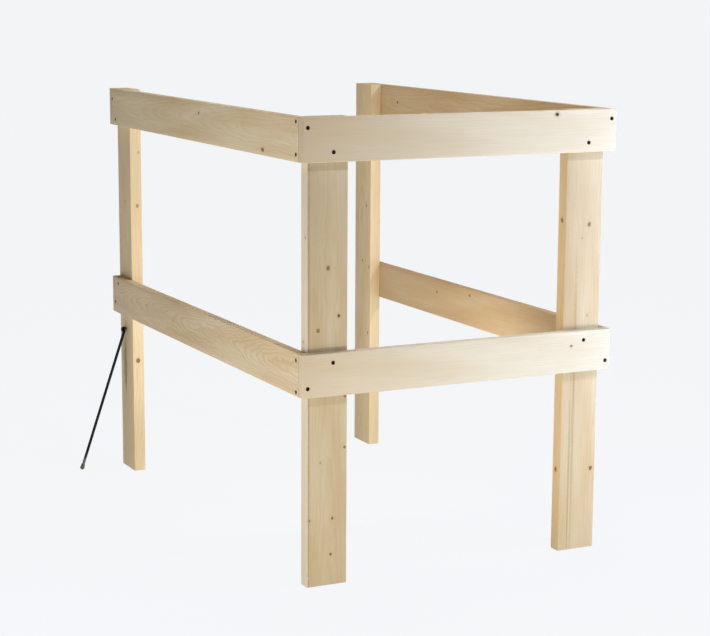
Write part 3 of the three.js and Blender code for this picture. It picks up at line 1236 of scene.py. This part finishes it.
@dataclass
class Timber:
    """The stand's ten boards: four legs and six rails, with what is known of each board's grain.

    Attributes:
        rail_slot: the rails' material slot in the record.
        leg_slot: the legs' slot.
    """

    rail_slot: str = "rail_timber"
    leg_slot: str = "leg_timber"

    def boards(self) -> list[Board]:
        """Lists the boards with their finishes.

        Returns:
            The boards, not yet built.
        """
        # Tones differ from board to board, partly as painted light and shade: the front rails paler where
        # the light falls strongly, the left rails, the inner right rails and the left front leg darker and
        # warmer for the shade they stand in.
        front_upper = PlanedSpruce(early="#DDD3BC", warm="#D5C7A9", late="#B0976F", ring_strength=0.14)
        front_lower = PlanedSpruce(early="#DAD5C2", warm="#D1C6AD", late="#B6996E", ring_strength=0.16)
        side_upper = PlanedSpruce(early="#D4C29D", warm="#C7AC7E", late="#A07C4E", ring_strength=0.26)
        side_lower = PlanedSpruce(early="#D4C09A", warm="#C6A97A", late="#966C3A", ring_strength=0.42)
        inner = PlanedSpruce(early="#C6AC83", warm="#BA9969", late="#9A6F3E", ring_strength=0.3)
        post_left = PlanedSpruce(early="#BDAE8C", warm="#B39D75", late="#A07D4E", ring_strength=0.24)
        post_right = PlanedSpruce(early="#CDBFA0", warm="#C4AD85", late="#A58048", ring_strength=0.2)
        back_post = PlanedSpruce(early="#D3BE97", warm="#CAAF80", late="#A8814D", ring_strength=0.3)
        wide, edge = Through.WIDE, Through.EDGE
        return [
            Board("rail_front_upper", self.rail_slot, front_upper, Grain(
                Cut.RIFT, seed=1.3, taper=0.006, dark_end=0.68, knots=(Knot(582, 81, 3.5, tone=1.85),),
            )),
            Board("rail_front_lower", self.rail_slot, front_lower, Grain(
                Cut.RIFT, seed=2.1, taper=0.008, dark_end=0.55, knots=(Knot(631, 58, 3.0, tone=0.8),),
            )),
            Board("rail_left_upper", self.rail_slot, side_upper, Grain(
                Cut.FLAT, seed=3.7, taper=0.03, knots=(
                    Knot(530, 64, 3.6, tone=0.8), Knot(176, 12, 4.5, tone=1.0, stretch=1.6),
                    Knot(675, 50, 9.0, tone=0.0, stretch=1.5),
                ),
            )),
            Board("rail_left_lower", self.rail_slot, side_lower, Grain(
                Cut.FLAT, ring_mm=2.7, seed=4.9, taper=0.05, waver_mm=6, ripple_mm=4, knots=(
                    Knot(806, 32, 8.0, tone=0.0, stretch=1.8), Knot(415, 46, 8.0, tone=0.0, stretch=1.8),
                ),
            )),
            Board("rail_right_upper", self.rail_slot, inner, Grain(Cut.FLAT, seed=5.2, knots=(
                Knot(949, 48, 4.0, tone=0.9), Knot(300, 30, 6.0, tone=0.6),
            ))),
            Board("rail_right_lower", self.rail_slot, inner, Grain(Cut.RIFT, seed=6.8, knots=(
                Knot(726, 59, 4.0, tone=0.7), Knot(560, 75, 4.0, tone=0.8), Knot(120, 20, 5.0),
            ))),
            Board("leg_front_left", self.leg_slot, post_left, Grain(
                # the paler side face here is painted light, where that face is lit more strongly than the
                # front
                Cut.FLAT, seed=7.4, edge_wood_and_light_colour="#D8CBAE", edge_wood_and_light_amount=0.65, knots=(
                    Knot(658, 46, 4.2, tone=0.9), Knot(560, 70, 3.0, tone=1.7),
                    Knot(533, 24, 4.0, tone=0.8), Knot(141, 57, 2.7, tone=1.2),
                    Knot(65, 53, 2.7, tone=1.1), Knot(141, 5, 2.4, tone=0.9),
                    Knot(287, 84, 2.8), Knot(394, 84.5, 2.8), Knot(260, 30, 2.5, tone=0.4),
                    Knot(721, 20, 3.0, edge, tone=0.5), Knot(509, 9, 3.0, edge, tone=0.5),
                    Knot(480, 3.8, 1.3, tone=0.4, stretch=500),  # painted shade: a dark line down one corner, where the eased edge lies in shade
                ),
            )),
            Board("leg_front_right", self.leg_slot, post_right, Grain(
                Cut.RIFT, ring_mm=5.5, seed=8.1, edge_wood_and_light_amount=0.55, knots=(
                    Knot(715, 59, 3.8, tone=0.9), Knot(686, 42, 2.5, tone=0.25),
                    Knot(518, 60, 2.5, tone=0.3), Knot(178, 79, 3.8, tone=1.3),
                    Knot(725, 14, 4.5, edge, tone=1.1),
                    Knot(180, 12, 4.5, edge, tone=1.0),
                    # two long amber streaks
                    Knot(330, 30, 3.4, tone=0.19, stretch=100), Knot(180, 22, 2.2, tone=0.24, stretch=96),
                ),
            )),
            Board("leg_back_left", self.leg_slot, back_post, Grain(Cut.RIFT, seed=9.6, knots=(
                Knot(674, 17, 4.0, edge, tone=0.6), Knot(806, 22, 3.0, edge, tone=0.4),
                Knot(284, 13, 5.2, edge, tone=1.0), Knot(682, 40, 3.0, wide, tone=0.4),
                Knot(262, 57, 9.0, wide, tone=0.65, stretch=7),  # a streak below the screw eye
            ))),
            Board("leg_back_right", self.leg_slot, back_post, Grain(Cut.FLAT, seed=10.5, knots=(
                Knot(642, 24, 3.5, tone=0.7), Knot(493, 45, 3.5, tone=0.6), Knot(303, 13, 3.5, tone=0.7),
                Knot(480, 7, 3.2, tone=0.7),
            ))),
        ]


# ---- Ground stay -------------------------------------------------------------------------------------


@dataclass
class GroundStay:
    """The black rod that swings on a screw eye in the left back leg and stands on a rubber foot.

    The rod is drawn about the hinge, hanging in the YZ plane, and then swung out to where its foot stands.

    Attributes:
        slot: the steel pieces' material slot in the record.
        foot_slot: the foot's slot.
        rod_radius: the rod's radius.
        corner_length: how far the bend reaches each way from the corner.
        wire_radius: the screw eye's wire.
        hole_radius: the inside of the eye.
        eye_point: how much of the eye's shank is drawn to a point.
        ring_degrees: how far round the eye's wire runs.
        beside_eye: how far in front of the hinge the bend's corner lies.
        pintle_end: how far behind the hinge the pintle ends.
        eye_bend: the radius of the bend between the eye's shank and its ring.
        clearance: how far a hole stands off what goes through it.
        foot_radius: the foot's ball.
        foot_height: how far the foot's sleeve reaches up the rod from the ball's middle.
        sides: how many sides the rod has.
        wire_sides: how many sides the screw eye's wire has.
        round_sides: how many sides the nut and the foot have.
        hinge: the middle of the eye, read from the frame.
        foot: the middle of the foot's ball, read from the frame.
    """

    slot: str = "stay_steel"
    foot_slot: str = "foot_rubber"
    rod_radius: float = 3.5 * MM
    corner_length: float = 7.0 * MM
    wire_radius: float = 1.5 * MM
    hole_radius: float = 4.2 * MM
    eye_point: float = 5 * MM
    ring_degrees: float = 320
    beside_eye: float = 7.0 * MM
    pintle_end: float = 7.0 * MM
    eye_bend: float = 2.2 * MM
    clearance: float = 0.3 * MM
    foot_radius: float = 5.5 * MM
    foot_height: float = 9.0 * MM
    sides: int = 24
    wire_sides: int = 16
    round_sides: int = 32
    hinge: Vector = field(init=False)
    foot: Vector = field(init=False)

    def __post_init__(self) -> None:
        """Reads the hinge and the foot's middle from the frame."""
        joint = next(j for j in frame["joints"] if j["name"] == "stay_hinge")
        self.hinge = Vector(joint["pos_m"])
        low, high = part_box("stay_foot")
        self.foot = Vector((low.x + self.foot_radius, low.y + self.foot_radius, low.z + self.foot_radius))

    @property
    def place(self) -> Matrix:
        """Takes shapes drawn about the hinge, hanging straight down, to where the stay stands."""
        reach = self.foot - self.hinge
        return Matrix.Translation(self.hinge) @ Matrix.Rotation(math.atan2(-reach.x, -reach.z), 4, "Y")

    @property
    def corner(self) -> Vector:
        """Where the pintle's line meets the straight rod's, from the hinge."""
        return Vector((0, -self.beside_eye, 0))

    @property
    def straight(self) -> Vector:
        """From the corner to the foot's middle, before the rod is swung out."""
        reach = self.foot - self.hinge
        return Vector((0, reach.y + self.beside_eye, -math.hypot(reach.x, reach.z)))

    def eye_drill(self) -> bpy.types.Object:
        """Shapes the hole that the screw eye's shank leaves in the leg.

        Returns:
            The shape to cut out of the leg.
        """
        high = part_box("stay_screw_eye")[1]
        radius = self.wire_radius + self.clearance
        start = self.hole_radius + self.wire_radius
        deep = high.x - self.hinge.x
        drill = turned_shape("eye_drill", [
            (0.0, -start),
            (radius, -start),
            (radius, -deep + self.eye_point),
            (0.0, -deep - 2 * self.clearance),
        ], self.wire_sides)
        drill.data.transform(Matrix.Translation(self.hinge) @ Matrix.Rotation(-math.pi / 2, 4, "Y"))
        return drill

    def build(self) -> list[bpy.types.Object]:
        """Models and dresses the stay's four pieces.

        Returns:
            The screw eye, the rod, the push nut and the foot.
        """
        painted = DarkSteel(
            coat="#080C0A", worn="#7A6F5A", metallic=0.0, roughness=0.55,
            mottle_mm=5.0,  # scuffs of this size
            wear=0.0, relief=0.05, soil_height_mm=44, specular=0.16,
        )
        plated = DarkSteel(
            coat="#181614", worn="#5A5246", metallic=0.3, roughness=0.5, wear=0.15, specular=0.25,
        )
        rubber = DustyRubber()
        pieces = [
            (self._eye(), "stay_screw_eye", FRAME_BODY, self.slot, plated.material("blackened_steel_eye")),
            (self._rod(), "stay_rod", STAY_BODY, self.slot, painted.material("black_painted_rod")),
            (self._nut(), "stay_push_nut", STAY_BODY, self.slot, plated.material("blackened_steel_nut")),
            (self._foot(), "stay_foot", STAY_BODY, self.foot_slot, rubber.material("dusty_rubber_foot")),
        ]
        for piece, node, body, slot, material in pieces:
            name_piece(piece, f"{node}_piece")
            piece.data.materials.clear()
            piece.data.materials.append(material)
            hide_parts(node)
            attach(piece, body)
        return [row[0] for row in pieces]

    def _disc(
        self, radius: float, sides: int, place: Vector, turn: tuple[float, float, float]
    ) -> bpy.types.Object:
        """Adds a filled circle, the start of a bent wire, and leaves it selected in edit mode.

        Args:
            radius: the circle's radius.
            sides: how many sides it has.
            place: its middle.
            turn: its turn from lying flat, as angles round X, Y and Z.

        Returns:
            The object, in edit mode.
        """
        deselect_all()
        bpy.ops.mesh.primitive_circle_add(
            vertices=sides, radius=radius, fill_type="NGON", location=place, rotation=turn
        )
        disc = bpy.context.object
        apply_place(disc)
        bpy.ops.object.mode_set(mode="EDIT")
        bpy.ops.mesh.select_mode(type="FACE")
        bpy.ops.mesh.select_all(action="SELECT")
        return disc

    def _close(self, piece: bpy.types.Object) -> None:
        """Ends a bent wire: leaves edit mode with its faces pointing out.

        Args:
            piece: the wire, in edit mode.
        """
        bpy.ops.mesh.select_mode(type="VERT")
        bpy.ops.mesh.select_all(action="SELECT")
        bpy.ops.mesh.remove_doubles(threshold=TOUCHING)
        bpy.ops.mesh.normals_make_consistent(inside=False)
        bpy.ops.object.mode_set(mode="OBJECT")
        smooth(piece, 50)

    def _eye(self) -> bpy.types.Object:
        """Bends the screw eye: a pointed shank whose wire bends off and runs round into a ring.

        Returns:
            The screw eye.
        """
        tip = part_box("stay_screw_eye")[1].x - self.hinge.x
        ring_radius = self.hole_radius + self.wire_radius
        bend_start = math.sqrt((ring_radius + self.eye_bend) ** 2 - self.eye_bend**2)
        lean = math.atan2(self.eye_bend, bend_start)
        point = self.eye_point
        blunt = 0.2  # the point's share of the wire's width
        eye = self._disc(self.wire_radius, self.wire_sides, Vector((tip, 0, 0)), (0, math.pi / 2, 0))
        bpy.ops.transform.resize(value=(blunt, blunt, blunt), center_override=(tip, 0, 0))
        bpy.ops.mesh.extrude_region_move(TRANSFORM_OT_translate={"value": (-point, 0, 0)})
        full = 1 / blunt
        bpy.ops.transform.resize(value=(full, full, full), center_override=(tip - point, 0, 0))
        to_bend = bend_start - tip + point
        bpy.ops.mesh.extrude_region_move(TRANSFORM_OT_translate={"value": (to_bend, 0, 0)})
        bpy.ops.mesh.spin(
            steps=8, angle=math.pi / 2 - lean, center=(bend_start, 0, self.eye_bend), axis=(0, -1, 0)
        )
        bpy.ops.mesh.spin(
            steps=40, angle=math.radians(self.ring_degrees), center=(0, 0, 0), axis=(0, 1, 0)
        )
        self._close(eye)
        eye.data.transform(Matrix.Translation(self.hinge))
        return eye

    def _rod(self) -> bpy.types.Object:
        """Bends the rod: a pintle through the eye, a bend, and the long straight leg down to the foot.

        Returns:
            The rod.
        """
        start = self.pintle_end
        down = self.straight.normalized()
        turn = math.acos(-down.y)
        bend_radius = self.corner_length / math.tan(turn / 2)
        bend_start = self.corner + Vector((0, self.corner_length, 0))
        rod = self._disc(self.rod_radius, self.sides, Vector((0, start, 0)), (math.pi / 2, 0, 0))
        chamfer = 0.5 * MM
        shrink = 1 - chamfer / self.rod_radius
        grow = 1 / shrink
        bpy.ops.transform.resize(value=(shrink, 1, shrink), center_override=(0, start, 0))
        bpy.ops.mesh.extrude_region_move(TRANSFORM_OT_translate={"value": (0, -chamfer, 0)})
        bpy.ops.transform.resize(value=(grow, 1, grow), center_override=(0, start - chamfer, 0))
        to_bend = bend_start.y - start + chamfer
        bpy.ops.mesh.extrude_region_move(TRANSFORM_OT_translate={"value": (0, to_bend, 0)})
        bpy.ops.mesh.spin(steps=14, angle=turn, center=(0, bend_start.y, -bend_radius), axis=(-1, 0, 0))
        run = (self.straight.length - self.corner_length) * down
        bpy.ops.mesh.extrude_region_move(TRANSFORM_OT_translate={"value": run})
        self._close(rod)
        rod.data.transform(self.place)
        return rod

    def _nut(self) -> bpy.types.Object:
        """Shapes the push nut: a domed ring of spring steel pressed on the pintle's end.

        Returns:
            The nut.
        """
        low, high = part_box("stay_push_nut")
        radius = (high.z - low.z) / 2
        thick = high.y - low.y
        bore = self.rod_radius + self.clearance
        sheet = 0.5 * MM
        crown = radius - 1.6 * MM
        skirt = [  # in from the rim and up from the nut's open side, in mm
            (1.2, 0.8), (0.4, 0.3), (0.0, 0.5), (0.0, 1.0),
        ]
        nut = turned_shape("push_nut", [
            (bore, 0.0),
            (bore, -sheet),
            (crown, -sheet),
            *[(radius - inward * MM, -thick + up * MM) for inward, up in skirt],
            (radius - 0.9 * MM, -0.4 * MM),
            (crown, 0.0),
            (bore, 0.0),
        ], self.round_sides)
        turn = Matrix.Rotation(-math.pi / 2, 4, "X")
        nut.data.transform(Matrix.Translation((self.hinge.x, high.y, self.hinge.z)) @ turn)
        smooth(nut, 40)
        return nut

    def _foot(self) -> bpy.types.Object:
        """Shapes the rubber foot: a ball with a ribbed sleeve, pushed on the rod's end.

        Returns:
            The foot.
        """
        radius = self.foot_radius
        sleeve = self.rod_radius + 1.2 * MM
        bore = self.rod_radius + self.clearance
        top = self.foot_height
        rib = 0.3 * MM
        soft_edge = 0.4 * MM
        ball_steps, ball_degrees = 10, 126
        ball = [
            (radius * math.cos(a), radius * math.sin(a))
            for a in (math.radians(-90 + ball_degrees * i / ball_steps) for i in range(ball_steps + 1))
        ]
        foot = turned_shape("foot", [
            (0.0, -radius),
            *ball[1:],
            (sleeve, 5.0 * MM),
            (sleeve + rib, 6.0 * MM),
            (sleeve, 7.0 * MM),
            (sleeve, top - soft_edge),
            (sleeve - soft_edge, top),
            (bore, top),
            (bore, -self.clearance),
            (0.0, -self.clearance),
        ], self.round_sides)
        up_rod = (-self.straight).to_track_quat("Z", "Y").to_matrix().to_4x4()
        foot.data.transform(self.place @ Matrix.Translation(self.corner + self.straight) @ up_rod)
        smooth(foot, 45)
        return foot


# ---- Studio ------------------------------------------------------------------------------------------


@dataclass(frozen=True)
class SoftLight:
    """A flat studio light with a soft edge.

    Attributes:
        name: its name.
        place: where it stands, in metres.
        aim: what it points at.
        size: its width and height, in metres.
        watts: its power.
        colour: its colour as sRGB hex.
        spread: how wide its beam opens, in degrees.
    """

    name: str
    place: tuple[float, float, float]
    aim: tuple[float, float, float]
    size: tuple[float, float]
    watts: float
    colour: str = "#FFFFFF"
    spread: float = 180.0

    def build(self) -> None:
        """Adds the light, hidden from the camera."""
        lamp = bpy.data.lights.new(self.name, "AREA")
        lamp.shape = "RECTANGLE"
        lamp.size, lamp.size_y = self.size
        lamp.energy = self.watts
        lamp.spread = math.radians(self.spread)
        lamp.color = linear(self.colour)[:3]
        piece = bpy.data.objects.new(self.name, lamp)
        bpy.context.scene.collection.objects.link(piece)
        piece.location = self.place
        direction = Vector(self.aim) - Vector(self.place)
        piece.rotation_euler = direction.to_track_quat("-Z", "Y").to_euler()
        piece.visible_camera = False


@dataclass(frozen=True)
class Studio:
    """A pale seamless floor, soft lights and the camera.

    Attributes:
        azimuth: how far the camera stands round from the front towards the left, in degrees.
        elevation: how far it looks down, in degrees.
        roll: how far it is tipped on its side, in degrees.
        distance: how far it stands from its aim.
        lens: its focal length, in mm.
        aim: the place it looks at.
        floor_side: how wide the floor is.
        floor_colour: the floor's colour, and the sky's.
        floor_glow: how brightly the floor is lit from within.
        floor_albedo: how much light the floor gives back.
        surround_strength: how brightly the surround lights the stand.
        lights: the soft lights.
    """

    azimuth: float = 26.21
    elevation: float = 10.01
    roll: float = 0.297
    distance: float = 4.4319
    lens: float = 95.54
    aim: tuple[float, float, float] = (0.0853, 0.0, 0.4435)
    floor_side: float = 600.0  # far enough for its edge to lie behind the horizon
    floor_colour: str = "#F2F4F6"
    floor_glow: float = 1.0
    floor_albedo: float = 0.02
    surround_strength: float = 0.04
    lights: tuple[SoftLight, ...] = (
        SoftLight("key", (1.07, -0.98, 0.72), (0.44, -0.575, 0.68), (0.4, 1.3), 13.2, "#D6E1FF"),
        SoftLight("front_top", (2.4, -3.0, 3.3), (0.1, -0.3, 0.6), (0.16, 0.16), 78.0, "#F2F6FF"),
        SoftLight("front_low", (-0.1, -1.4, 0.11), (-0.15, -0.55, 0.05), (1.2, 0.06), 4.0, "#FFF4E4"),
        SoftLight("side_fill", (-1.3, -0.74, 0.35), (-0.3, -0.54, 0.35), (0.7, 0.8), 10.4, "#EAF0FF"),
        SoftLight("back_kicker", (-0.02, -0.28, 0.2), (0.0, 0.486, 0.5), (0.6, 0.12), 3.1, "#FFFCF6"),
        SoftLight("leg_fill", (-0.15, -0.5, 0.45), (0.33, -0.545, 0.45), (0.06, 0.8), 0.2, "#FFF2DC", 50.0),
        SoftLight("overhead", (0.1, 0.1, 3.4), (0.05, 0.0, 0.0), (1.6, 1.6), 62.0, "#FFFFFF"),
    )

    def build(self) -> None:
        """Adds the floor, the lights, the surround and the camera."""
        self._floor()
        self._surround()
        for light in self.lights:
            light.build()
        self._camera()
        bpy.context.scene.view_settings.view_transform = "Standard"

    def _floor(self) -> None:
        """Adds a wide pale floor, lit from within so that it keeps only a faint shadow."""
        deselect_all()
        bpy.ops.mesh.primitive_plane_add(size=self.floor_side, location=(0, 0, 0))
        floor = name_piece(bpy.context.object, "studio_floor")
        material, tree, shader = new_material("matt_paper_floor")
        shader.inputs["Base Color"].default_value = (*[self.floor_albedo] * 3, 1)
        shader.inputs["Roughness"].default_value = 1.0
        shader.inputs["Specular IOR Level"].default_value = 0.0
        shader.inputs["Emission Color"].default_value = linear(self.floor_colour)
        shader.inputs["Emission Strength"].default_value = self.floor_glow
        floor.data.materials.append(material)

    def _surround(self) -> None:
        """Adds an even, faint light from all round, behind a sky as pale as the floor."""
        world = bpy.data.worlds.new("studio")
        world.use_nodes = True
        tree = world.node_tree
        background = tree.nodes["Background"]
        background.inputs["Color"].default_value = linear(self.floor_colour)
        seen = add_node(tree, "LightPath").outputs["Is Camera Ray"]
        strength = add_node(tree, "Math", {"operation": "MULTIPLY_ADD"}, {
            0: seen, 1: self.floor_glow - self.surround_strength, 2: self.surround_strength,
        }).outputs[0]
        tree.links.new(strength, background.inputs["Strength"])
        bpy.context.scene.world = world

    def _camera(self) -> None:
        """Adds the camera, looking down a little at the stand's left front corner."""
        azimuth, elevation = math.radians(self.azimuth), math.radians(self.elevation)
        back = Vector((
            -math.sin(azimuth) * math.cos(elevation),
            -math.cos(azimuth) * math.cos(elevation),
            math.sin(elevation),
        ))
        data = bpy.data.cameras.new("camera")
        data.lens = self.lens
        data.clip_end = 2 * self.floor_side
        camera = bpy.data.objects.new("camera", data)
        bpy.context.scene.collection.objects.link(camera)
        camera.location = Vector(self.aim) + self.distance * back
        turn = (-back).to_track_quat("-Z", "Y").to_matrix().to_4x4()
        camera.rotation_euler = (turn @ Matrix.Rotation(math.radians(self.roll), 4, "Z")).to_euler()
        bpy.context.scene.camera = camera


def main() -> None:
    """Builds the stand, reporting each piece."""
    logging.basicConfig(level=logging.INFO, format="%(name)s: %(message)s")
    rng = random.Random(SCREW_SEED)
    Studio().build()
    screw = WoodScrew()
    screw.build()
    phosphated = DarkSteel(coat="#2A1E12", worn="#4E3E2E", metallic=0.9, roughness=0.6)
    screw_finish = phosphated.material("phosphated_steel_screw")
    places = [ScrewPlace.of_node(n, rng) for n in sorted(frame["nodes"]) if n.startswith("screw_")]
    stay = GroundStay()
    for board in Timber().boards():
        tools = [
            copy_piece(screw.drill, "drill_hole", place.matrix)
            for place in places
            if place.enters(board.axes.low, board.axes.high)
        ]
        if board.node == "leg_back_left":
            tools.append(stay.eye_drill())
        piece = board.build(tools)
        log.info("%s: %d faces", piece.name, len(piece.data.polygons))
    for place in places:
        piece = copy_piece(screw.pattern, f"{place.node}_piece", place.matrix)
        piece.data.materials.append(screw_finish)
        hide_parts(place.node)
        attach(piece, FRAME_BODY)
    log.info("%d screws", len(places))
    screw.remove_patterns()
    for piece in stay.build():
        log.info("%s: %d faces", piece.name, len(piece.data.polygons))
    deselect_all()


if __name__ == "__main__":
    main()
